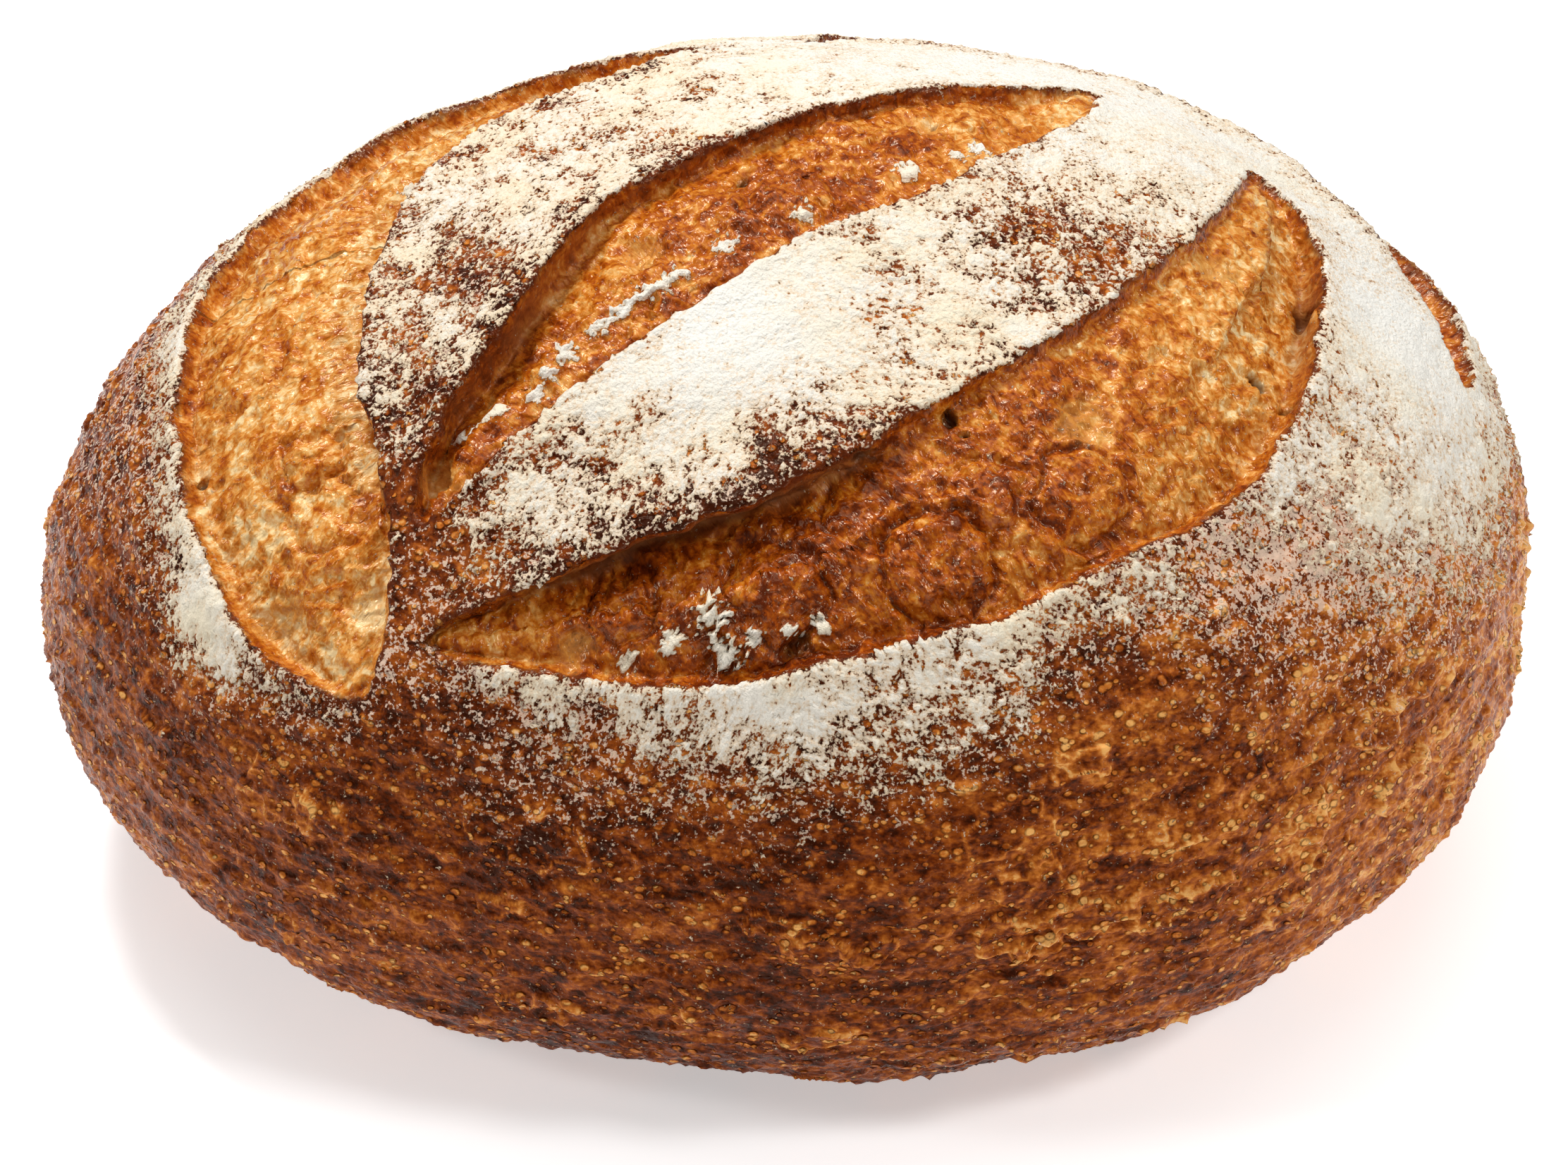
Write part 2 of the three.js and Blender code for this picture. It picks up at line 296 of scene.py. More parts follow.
def make_skin():
    """A square of quads folded over the loaf: reach and angle of each corner, the quads, and each
    quad corner's place on the square, which is the loaf's UV map."""
    side = 2 * np.arange(GRID + 1) / GRID - 1
    s, t = (a.ravel() for a in np.meshgrid(side, side, indexing="ij"))
    level = np.abs(s) + np.abs(t)
    folded = level > 1 + 1e-9
    x = np.where(folded, (1 - np.abs(t)) * np.where(s < 0, -1, 1), s)
    y = np.where(folded, (1 - np.abs(s)) * np.where(t < 0, -1, 1), t)
    quarter = np.abs(y) / np.maximum(np.abs(x) + np.abs(y), 1e-12) * math.pi / 2
    x_side, y_side = np.where(x < 0, -1, 1), np.where(y < 0, -1, 1)
    around = np.arctan2(np.sin(quarter) * y_side, np.cos(quarter) * x_side)
    reach = reach_at_level(level)
    index = np.arange((GRID + 1) ** 2).reshape(GRID + 1, GRID + 1)
    same = index.copy()
    half = GRID // 2
    for edge in (same[0], same[-1], same[:, 0], same[:, -1]):
        edge[half + 1:] = edge[:half][::-1]  # each side of the square folds shut on itself
    corners = (0, -1)
    for i in corners:
        for j in corners:
            same[i, j] = index[0, 0]
    for edge in (same[0], same[-1], same[:, 0], same[:, -1]):
        edge[0] = edge[-1] = index[0, 0]
    quads = np.stack([index[:-1, :-1], index[1:, :-1], index[1:, 1:], index[:-1, 1:]], -1).reshape(-1, 4)
    places = np.stack([(s + 1) / 2, (t + 1) / 2], 1)[quads]
    kept, renumbered = np.unique(same, return_inverse=True)
    return reach[kept], around[kept], renumbered.reshape(-1)[quads], places


def normals_of(points, quads):
    """Each point's outward direction, from the quads around it."""
    a, b, c, d = (points[quads[:, k]] for k in range(4))
    facing = np.cross(c - a, d - b)
    total = np.zeros_like(points)
    for corner in range(4):
        for axis in range(3):
            total[:, axis] += np.bincount(quads[:, corner], facing[:, axis], len(points))
    return unit(total)


def closed_curve(points, steps):
    """A smooth closed curve through the points, with steps samples for each."""
    start = np.array(points, float)
    before, end, after = (np.roll(start, k, axis=0)[:, None] for k in (1, -1, -2))
    start = start[:, None]
    t = (np.arange(steps) / steps)[None, :, None]
    curve = 2 * start + (end - before) * t
    curve = curve + (2 * before - 5 * start + 4 * end - after) * t**2
    curve = curve + (3 * start - before - 3 * end + after) * t**3
    return (0.5 * curve).reshape(-1, len(points[0]))


def section(knots):
    """A smooth function through about these knots, on -1 to 1."""
    blur = 14  # samples either side
    fine = np.linspace(-1, 1, 401)
    values = np.interp(fine, *zip(*knots))
    window = np.hanning(2 * blur + 1)
    padded = np.pad(values, blur, mode="edge")
    values = np.convolve(padded, window / window.sum(), mode="valid")
    return lambda share: np.interp(share, fine, values)


sideways, lip, fall = section(SECTION_SIDEWAYS), section(SECTION_LIP), section(SECTION_DROP)


class Score:
    """One blade score's outline on the crust."""

    STEPS = 14  # samples for each point of the outline
    ROOMS = np.arange(1, 22)  # millimetres
    ROUND_ENOUGH = 0.93  # a circle this share of its size, inside the outline, still fits

    def __init__(self, name):
        curve = closed_curve(SCORES[name], self.STEPS)
        self.u, self.v, self.drop, self.ear = curve.T
        self.points = crust_at(self.u, self.v)
        up = crust_normal_at(self.u, self.v)
        turn = np.sum(self.u * np.roll(self.v, -1) - self.v * np.roll(self.u, -1))
        along = unit(np.roll(self.points, -1, axis=0) - np.roll(self.points, 1, axis=0))
        self.inward = unit(np.cross(up, along)) * np.sign(turn)
        self.room = self.measure_room()

    def measure_room(self):
        """How far in from each edge sample the middle of the opening is."""
        room = np.ones(len(self.points))
        open_still = np.ones(len(self.points), bool)
        for size in self.ROOMS:
            probe = self.points + self.inward * size
            least = np.min(np.linalg.norm(probe[:, None] - self.points[None], axis=2), axis=1)
            open_still &= least > self.ROUND_ENOUGH * size
            room[open_still] = size
        return room

    def nearest(self, places):
        """For each place, the two outline samples it lies between and how far along."""
        gaps = (self.points**2).sum(1)[None] - 2 * places @ self.points.T
        first = np.argmin(gaps, axis=1)
        count = len(self.points)
        best = None
        for start in ((first - 1) % count, first):
            end = (start + 1) % count
            side = self.points[end] - self.points[start]
            share = np.einsum("ij,ij->i", places - self.points[start], side) / (side**2).sum(1)
            share = np.clip(share, 0, 1)
            foot = self.points[start] + side * share[:, None]
            gap = np.linalg.norm(places - foot, axis=1)
            if best is None:
                best = [gap, start, end, share, foot]
            else:
                closer = gap < best[0]
                for kept, new in zip(best, (gap, start, end, share, foot)):
                    kept[closer] = new[closer]
        return best

    def measure(self, places):
        """Distance in from the edge, negative outside, and the edge's values at the nearest spot."""
        gap, start, end, share, foot = self.nearest(places)

        def between(values):
            part = share if values.ndim == 1 else share[:, None]
            return values[start] * (1 - part) + values[end] * part

        inward = unit(between(self.inward))
        side = np.where(np.einsum("ij,ij->i", places - foot, inward) >= 0, 1, -1)
        return gap * side, inward, between(self.drop), between(self.ear), between(self.room)


def spot(points, u, v, radius):
    """How far each point is from the crust's point at u, v, over radius."""
    return np.linalg.norm(points - crust_at(np.array(u), np.array(v)), axis=1) / radius


def line(points, start, end, radius):
    """How far each point is from the line between two of the crust's points, over radius."""
    first, last = (crust_at(np.array(u), np.array(v)) for u, v in (start, end))
    along = last - first
    share = np.clip((points - first) @ along / (along @ along), 0, 1)
    return np.linalg.norm(points - first - share[:, None] * along, axis=1) / radius


SCORE_MARGIN = 25.0  # how far round a score's outline its effect is worked out, in millimetres
EAR_FADE = 7  # how far back from its edge an ear's own look reaches


def make_loaf_shape():
    """The fine skin with its scores, and the values that its relief and its material need."""
    reach, around, quads, places = make_skin()
    flat = crust_point(reach, around)
    up = normals_of(flat, quads)
    if np.einsum("ij,ij->i", up, flat - flat.mean(0)).sum() < 0:
        quads = quads[:, ::-1]
        places = places[:, ::-1]
        up = -up
    wobble = 0.7 * swirl(flat, 7, 11) + 0.3 * swirl(flat, 2.4, 14)

    moved = flat + up * (1.1 * perlin(flat, 38, 1) + 0.5 * perlin(flat, 14, 2))[:, None]
    inside = np.full(len(flat), -SCORE_MARGIN)
    shade = np.zeros(len(flat))
    ear_edge = np.zeros(len(flat))
    which = np.zeros(len(flat), int)
    for number, name in enumerate(SCORES):
        score = Score(name)
        low, high = score.points.min(0) - SCORE_MARGIN, score.points.max(0) + SCORE_MARGIN
        near = np.nonzero(np.all((flat > low) & (flat < high), axis=1) & (reach < 1))[0]
        depth, inward, drop, ear, room = score.measure(flat[near] + wobble[near])
        grain = 1 + 0.3 * perlin(flat[near], 9, 20 + number)
        ear = ear * grain
        width = EDGE_REACH + EAR_REACH * ear
        squeeze = np.minimum(1, 0.8 * room / width)
        width, ear, drop = width * squeeze, ear * squeeze, drop * np.sqrt(squeeze)
        across = np.clip(depth / width, -1, 1)
        settled = np.exp(-np.maximum(depth - 0.6 * width, 0) / DOUGH_RISE_WIDTH)
        deep = DOUGH_MIDDLE_DROP + (drop - DOUGH_MIDDLE_DROP) * settled
        proud = (LIP_RAISE + EAR_RAISE * ear) * lip(across)
        moved[near] += inward * (ear * sideways(across))[:, None]
        moved[near] += up[near] * (proud - deep * fall(across))[:, None]
        under = smooth(across, 0.02, 0.12) * smooth(across, 0.62, 0.4)
        shade[near] = np.maximum(shade[near], under * smooth(ear, 0.8, 2.6))
        edge = np.clip(ear / 3, 0, 1) * smooth(depth, -EAR_FADE, 0) * (depth < 3)
        ear_edge[near] = np.maximum(ear_edge[near], edge)
        deeper = depth > inside[near]
        inside[near[deeper]] = depth[deeper]
        which[near[deeper]] = number
    return dict(
        u=reach * np.cos(around), reach=reach, around=around, quads=quads, places=places, flat=flat,
        moved=moved, inside=inside, shade=shade, ear_edge=ear_edge, which=which,
    )


# ---------------------------------------------------------------- Flour and fine relief

FLOUR_LIMITS = [  # how far from the crown the flour reaches, at angles in degrees
    (-180, 0.63), (-162, 0.66), (-150, 0.76), (-142, 0.82), (-129, 0.76), (-115, 0.76),
    (-104, 0.76), (-94, 0.79), (-80, 0.76), (-67, 0.69), (-50, 0.66), (-36, 0.72), (-22, 0.82),
    (0, 0.86), (20, 0.82), (60, 0.72), (90, 0.66), (120, 0.66), (150, 0.64), (180, 0.63),
]
FLOUR_CHANGES = [  # patches with more or less of it: u, v, radius in millimetres, change
    (-0.385, -0.37, 7, -0.6), (-0.37, -0.25, 7, -0.35), (-0.39, -0.475, 11, -0.4),
    (-0.33, -0.45, 9, -0.25), (-0.435, -0.44, 7, -0.35), (-0.45, -0.59, 11, -0.5),
    (0.2, -0.13, 11, -0.25), (0.29, -0.12, 9, -0.2), (0.02, -0.37, 7, -0.2), (-0.05, -0.385, 4, -0.4),
    (0.47, -0.47, 20, -0.35), (0.33, -0.59, 14, -0.25), (-0.32, -0.68, 12, -0.15),
    (-0.64, -0.42, 10, 0.2), (0.57, -0.04, 18, 0.3), (-0.08, -0.25, 18, 0.3), (0.4, 0.2, 25, 0.2),
    (-0.3, -0.1, 12, -0.25), (0.05, 0.2, 20, 0.15), (0.2, 0.28, 20, 0.15),
]
FLOURED_RIMS = [  # score, u and v of the rim's middle, its half length, the flour's width, amount
    (0, -0.64, 0.05, 45, 3, 0.4), (0, -0.66, -0.3, 42, 5, 0.3), (0, -0.45, 0.35, 40, 4, 0.5),
    (2, -0.2, -0.66, 32, 5, 0.25), (2, 0.12, -0.61, 34, 5, 0.2),
]
EVEN_FLOUR = [(0.56, 0, 26), (0.2, 0.25, 40), (-0.1, -0.25, 15)]  # u, v, radius of smoother parts
DUSTED = [  # where a thin dust of flour dulls the bare crust: u, v, radius, amount
    (0.48, -0.42, 26, 0.42), (0.65, -0.2, 22, 0.35), (-0.46, -0.52, 14, 0.3), (-0.74, -0.05, 30, 0.3),
    (-0.3, -0.72, 18, 0.2),
]
UNDERSIDE_DUST = 0.22


def flour_density(shape):
    """From 0, bare, to 1, fully floured, and the thin film of flour dust between the clumps."""
    reach, inside, flat = shape["reach"], shape["inside"], shape["flat"]
    limit = np.interp(np.degrees(shape["around"]), *zip(*FLOUR_LIMITS)) + 0.03 * perlin(flat, 22, 31)
    density = 0.93 * smooth(reach, limit + 0.14, limit - 0.14)
    for u, v, radius, change in FLOUR_CHANGES:
        density += change * np.exp(-spot(flat, u, v, radius) ** 2)
    for score, u, v, half_length, width, amount in FLOURED_RIMS:
        beside = np.exp(-spot(flat, u, v, half_length) ** 4) * np.exp(np.minimum(inside, 0) / width)
        density += amount * beside * (shape["which"] == score) * smooth(reach, 0.5, 0.6)
    density -= 0.35 * shape["ear_edge"]
    density += 0.1 * perlin(flat, 12, 32)
    film = np.clip(density + 0.1, 0, 1) * 0.5
    for u, v, radius, change in DUSTED:
        film += change * np.exp(-spot(flat, u, v, radius) ** 2)
    film += UNDERSIDE_DUST * smooth(reach, 1.5, 1.7)
    covered = smooth(inside, 0.3, -0.6)
    return np.clip(density, 0, 1.2) * covered, film * covered


CRUMBS = [  # flour that fell into the openings: u, v, radius, thickness
    (-0.107, -0.577, 3, 2.2), (-0.092, -0.613, 3.3, 2.4), (0.013, -0.581, 2.2, 1.4),
    (-0.228, -0.236, 2.4, 1), (-0.258, -0.277, 2, 0.9), (-0.245, -0.255, 2, 1),
    (-0.086, -0.127, 2.6, 1.2), (-0.012, -0.091, 2, 1), (0.077, -0.013, 2.2, 0.8),
    (0.14, 0.037, 2.2, 0.9), (0.12, 0.02, 1.6, 0.8), (-0.355, 0.105, 3, 0.8), (-0.375, 0.1, 2, 0.8),
    (-0.15, -0.595, 2.2, 0.8), (-0.2, -0.61, 2, 0.8), (-0.06, -0.6, 1.8, 0.8), (-0.02, -0.59, 1.6, 0.8),
]
STREAKS = [  # and in lines: from u, v to u, v, radius, thickness
    (-0.203, -0.214, -0.123, -0.158, 1.5, 1.3), (-0.332, -0.301, -0.289, -0.289, 1, 0.8),
]
# Loose flakes of crust, low on the flank: u, v, radius and height.
FLAKES = [
    (0.297, -0.844, 5, 0.8), (0.384, -0.874, 6, 0.9), (0.292, -0.926, 5, 0.8), (0.474, -0.851, 4, 0.8),
    (0.543, -0.797, 4, 0.7), (0.69, -0.76, 4, 0.7), (0.457, -0.761, 3, 0.7), (0.63, -0.66, 4, 0.7),
    (0.78, -0.55, 6, 1), (0.68, -0.52, 5, 0.9), (0.413, -0.498, 4, 0.6), (0.316, -0.692, 4, 0.6),
    (0.035, -0.974, 5, 0.8), (0.104, -0.966, 4, 0.8), (-0.033, -0.941, 3.5, 0.7),
    (-0.418, -0.865, 4, 0.6), (-0.6, -0.68, 4, 0.6), (0.85, 0.4, 6, 0.9), (0.3, 0.93, 5, 0.8),
    (-0.35, 0.9, 5, 0.8), (-0.9, 0.2, 5, 0.7),
]


def crust_relief(shape):
    """Blisters, which the dough's stretch drew out sideways on the loaf's flanks, and flakes."""
    flat, reach = shape["flat"], shape["reach"]
    drawn = flat * np.array([0.75, 0.75, 1.15]) + 0.6 * swirl(flat, 3, 401)
    side = smooth(reach, 0.4, 0.8)
    small, small_luck = blobs(drawn, 1.7, 41, 0.85, (0.32, 0.6))
    large, large_luck = blobs(drawn, 3.6, 42, 0.4, (0.22, 0.5))
    blister = 0.55 * cap(small) * (0.4 + 0.6 * small_luck)
    blister = np.maximum(blister, cap(large) * (0.5 + 0.5 * large_luck))
    plate, plate_luck = blobs(drawn + 2.5 * swirl(flat, 5, 44), 11, 48, 0.4, (0.2, 0.5))
    loose = smooth(plate_luck, 0.1, 0.7) * smooth(reach, 0.6, 0.8)
    flake = np.exp(-(((plate - 0.96) / 0.07) ** 2)) * loose  # its lifted, pale rim
    relief = blister * (0.4 + 0.65 * side) + 0.45 * smooth(plate, 1, 0.94) * loose + 0.4 * flake
    torn = flat + 2.4 * swirl(flat, 4, 45) + 0.8 * swirl(flat, 1.5, 408)
    for u, v, radius, height in FLAKES:
        away = (torn - crust_at(np.array(u), np.array(v))) * np.array([0.75, 0.75, 1.4])
        close = np.linalg.norm(away, axis=1) / radius
        rim = np.exp(-(((close - 0.85) / 0.13) ** 2))
        relief += height * (smooth(close, 1, 0.75) + 0.5 * rim)
        flake = np.maximum(flake, rim)
    folds = flat * np.array([0.3, 0.3, 1.3]) + 0.8 * swirl(flat, 9, 404)
    relief += (0.5 * ridges(folds, 5, 43) + 0.25 * perlin(folds, 2.2, 47)) * side
    relief += 0.35 * fractal(drawn, 3.4, 46) + 0.12 * ridges(drawn, 1.6, 49)
    return relief, blister, flake


def flour_relief(shape, density):
    """Flour lies in clumps: its thickness, and how lumpy it is."""
    flat = shape["flat"]
    grain, _ = blobs(flat, 1.05, 51, 1, (0.4, 0.62))
    clumps = 0.5 * cap(grain) + 0.35 * (perlin(flat, 0.85, 53) + 0.5)
    clumps += 0.2 * (perlin(flat, 1.8, 54) + 0.5)
    patchy = 0.3 * perlin(flat, 4.5, 55) + 0.2 * perlin(flat, 9, 56)
    even = sum(np.exp(-spot(flat, u, v, radius) ** 2) for u, v, radius in EVEN_FLOUR)
    even = np.clip(even, 0, 1)
    lay = 1.45 * density - 0.75 + (1 - 0.5 * even) * (clumps - 0.5) + (1 - 0.6 * even) * patchy
    flour = smooth(lay, -0.1, 0.5) * (0.15 + (0.65 - 0.4 * even) * np.clip(clumps, 0, 1.2))
    lay = np.where(density < 0.02, -1, lay)
    flour = flour * smooth(density, 0.02, 0.1)
    for u, v, radius, thickness in CRUMBS:
        flour, lay = add_crumb(clumps, flour, lay, spot(flat, u, v, radius), thickness)
    for from_u, from_v, to_u, to_v, radius, thickness in STREAKS:
        close = line(flat, (from_u, from_v), (to_u, to_v), radius)
        flour, lay = add_crumb(clumps, flour, lay, close, thickness)
    return flour, lay, even


def add_crumb(clumps, flour, lay, close, thickness):
    """Adds one clump of flour, with a ragged rim where close is about 1."""
    piece = smooth(close + 1.4 * (0.5 - clumps), 0.95, 0.6)
    flour = np.maximum(flour, piece * thickness * (0.4 + 0.6 * clumps))
    return flour, np.maximum(lay, 1.2 * piece - 0.2)


def dough_relief(shape, run):
    """The stretched dough in the openings: crinkles, strands, bubbles, windows and holes."""
    flat, inside = shape["flat"], shape["inside"]
    warped = flat + 1.1 * swirl(flat, 4, 61)
    crinkle = 0.8 * ridges(warped, 3.6, 64) + 0.7 * ridges(warped, 1.9, 65)
    crinkle += 1.1 * fractal(warped, 6, 66)
    pulled = run + 1.5 * swirl(flat, 7, 68)
    strands = ridges(pulled * np.array([0.3, 1, 1]), 1.6, 71) * smooth(perlin(flat, 12, 72), -0.1, 0.5)
    bowl, bowl_luck = blobs(warped, 6, 73, 0.5, (0.2, 0.5))
    ring = np.exp(-(((bowl - 1) / 0.25) ** 2)) * (bowl < 2)
    pit, _ = blobs(warped, 5, 74, 0.12, (0.1, 0.18))
    relief = 0.5 * crinkle + 0.28 * strands + 0.9 * perlin(flat, 16, 75)
    relief += (0.4 * ring - 0.7 * cap(bowl)) * bowl_luck - 1.1 * cap(pit)
    for u, v, radius, height in TORN_BITS:
        relief += height * smooth(spot(warped, u, v, radius), 1, 0.2)
    window, hole_and_shade, rings = (np.zeros(len(flat)) for _ in range(3))
    bent = flat + 1.7 * swirl(flat, 5, 76) + 0.4 * swirl(flat, 1.6, 79)
    for u, v, radius, dome, crease in BUBBLES:
        close = spot(bent, u, v, radius)
        relief += dome * smooth(close, 1.05, 0.4)
        rim = np.exp(-(((close - 1) / 0.11) ** 2))
        rings = np.maximum(rings, rim * crease)
        relief -= 1.15 * crease * rim
        relief += 0.65 * crease * np.exp(-(((close - 1.2) / 0.14) ** 2))
        relief += 0.2 * max(dome, 0) * np.exp(-(((close - 0.6) / 0.09) ** 2))
        if dome < 0:
            window = np.maximum(window, smooth(close, 1, 0.45))
    for u, v, radius, depth in HOLES:
        hole_and_shade = np.maximum(hole_and_shade, smooth(spot(bent, u, v, radius), 1.1, 0.5) * depth)
    relief = relief - hole_and_shade
    calm = (1 - 0.7 * shape["shade"]) * (0.25 + 0.75 * smooth(inside, -0.5, 3.5))
    # The third value, the holes' depth as a share of 2 mm, is where the material paints shade into them.
    return relief * calm, window, np.clip(hole_and_shade / 2, 0, 1), rings


def add_relief(shape):
    """Displaces the skin by its fine relief and returns the material's values."""
    points, inside = shape["moved"], shape["inside"]
    normal = normals_of(points, shape["quads"])
    run = strand_places(shape)
    density, film = flour_density(shape)
    crust, blister, flake = crust_relief(shape)
    flour, lay, even = flour_relief(shape, density)
    dough, window, hole_and_shade, rings = dough_relief(shape, run)
    is_dough = smooth(inside, -0.2, 0.6)
    relief = crust * (1 - is_dough) * (1 - 0.5 * smooth(density, 0.3, 0.9))
    relief = relief + dough * is_dough + flour
    relief *= smooth(shape["flat"][:, 2], -0.5, 4) * 0.85 + 0.15
    values = dict(
        opening=np.clip(inside, -20, 20),
        under_ear=shape["shade"],
        flour=np.clip(lay, -1, 1.5),
        film=film,
        blister=np.clip(blister, 0, 1),
        flake=flake,
        proud=np.clip(dough / 1.5, -1, 1),
        window=window,
        hole_and_shade=hole_and_shade,
        ring=rings,
        even_flour=even,
        browning_and_side_light=crust_browning_and_side_light(shape),
        bake=dough_bake(shape),
    )
    return points + normal * relief[:, None], values, run


def strand_places(shape):
    """Where each point lies across and along its opening, in millimetres."""
    flat, which = shape["flat"], shape["which"]
    headings = {1: (0.74, 0.672), 2: (0.78, 0.627)}
    across = 165 * shape["reach"]
    along = 95 * shape["around"]
    for number, (x, y) in headings.items():
        here = which == number
        along[here] = flat[here, 0] * x + flat[here, 1] * y
        across[here] = (flat[here, 0] * y - flat[here, 1] * x) - 0.4 * flat[here, 2]
    return np.stack([across, along, 40.0 * which], 1)


def crust_browning_and_side_light(shape):
    """From 0, darkest, to 1, lightest: how far the crust has browned, plus painted light and shade by
    side, lighter on the left and right flanks and darker at the front and back.
    """
    flat, angle, reach = shape["flat"], shape["around"], shape["reach"]
    # Painted light and shade by side: the flanks, most of all the right one, are painted lighter and the
    # front and back darker, fading out under the loaf.
    around = 0.1 + 0.13 * np.cos(2 * angle) + 0.11 * np.cos(angle)
    browning_and_side_light = 0.5 + around * smooth(reach, 0.3, 0.9) * smooth(reach, 1.8, 1.3)
    browning_and_side_light += 0.14 * fractal(flat, 30, 81) + 0.22 * fractal(flat * np.array([0.55, 0.55, 1.5]), 8, 83)
    return np.clip(browning_and_side_light - 0.25 * shape["ear_edge"], 0, 1)


def dough_bake(shape):
    """From 0, pale, to 1, dark: how far the dough in the openings has browned."""
    flat, which, u = shape["flat"], shape["which"], shape["u"]
    bake = np.select([which == 0, which == 1, which == 2], [0.3, 0.54, 0.66], 0.5)
    bake = bake - np.where(which == 2, 0.3 * smooth(u, 0.12, 0.42) + 0.25 * smooth(u, -0.15, -0.35), 0)
    bake = bake - np.where(which == 1, 0.3 * smooth(u, 0.05, 0.25), 0)
    bake += 0.16 * fractal(flat, 17, 91) + 0.16 * fractal(flat, 5, 95)
    return np.clip(bake, 0, 1)


def fit_to_frame(points):
    """Scales and moves the points so that their box is the CAD's box, with a flat resting face."""
    low, high = points.min(0), points.max(0)
    cad = np.array(cad_low) / MM, np.array(cad_high) / MM
    scale = (cad[1] - cad[0]) / (high - low)
    return (points - low) * scale + cad[0]


def make_loaf():
    """The loaf's one mesh, with its two materials, in place of the CAD's node."""
    shape = make_loaf_shape()
    points, values, run = add_relief(shape)
    points[:, 2] = np.maximum(points[:, 2], 0)
    points = fit_to_frame(points) * MM
    quads = shape["quads"]
    mesh = bpy.data.meshes.new("sourdough_crust")
    mesh.vertices.add(len(points))
    mesh.vertices.foreach_set("co", points.astype(np.float32).ravel())
    mesh.loops.add(quads.size)
    mesh.loops.foreach_set("vertex_index", quads.astype(np.int32).ravel())
    mesh.polygons.add(len(quads))
    mesh.polygons.foreach_set("loop_start", np.arange(0, quads.size, 4, dtype=np.int32))
    mesh.uv_layers.new(name="OFBake").data.foreach_set("uv", shape["places"].astype(np.float32).ravel())
    for name, value in values.items():
        attribute = mesh.attributes.new(name, "FLOAT", "POINT")
        attribute.data.foreach_set("value", value.astype(np.float32))
    attribute = mesh.attributes.new("run", "FLOAT_VECTOR", "POINT")
    attribute.data.foreach_set("vector", run.astype(np.float32).ravel())
    mesh.materials.append(make_bread_material("baked_crust", CRUST_SHINE, CRUST_TINT))
    mesh.materials.append(make_bread_material("opened_dough", DOUGH_SHINE, DOUGH_TINT))
    opened = values["opening"][quads].mean(1) > 0
    mesh.polygons.foreach_set("material_index", opened.astype(np.int32))
    mesh.update(calc_edges=True)
    mesh.validate()
    mesh.shade_smooth()
    loaf = bpy.data.objects.new("sourdough_crust", mesh)
    bpy.context.scene.collection.objects.link(loaf)
    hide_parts("loaf")
    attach(loaf, "root")
    return loaf


# ---------------------------------------------------------------- Materials

CRUST_SHINE, CRUST_TINT = 0.09, (1, 0.75, 0.5, 1)  # specular level and the colour of reflections
DOUGH_SHINE, DOUGH_TINT = 0.38, (1, 0.8, 0.55, 1)
BUMP_DEPTH = 0.9 * MM


def srgb(red, green, blue):
    """A shader colour from the 0 to 255 values that a screen shows."""
    def linear(value):
        value /= 255
        return value / 12.92 if value <= 0.04045 else ((value + 0.055) / 1.055) ** 2.4
    return (linear(red), linear(green), linear(blue), 1)


def grey(value):
    """A shader colour with the same share of red, green and blue."""
    return (value, value, value, 1)


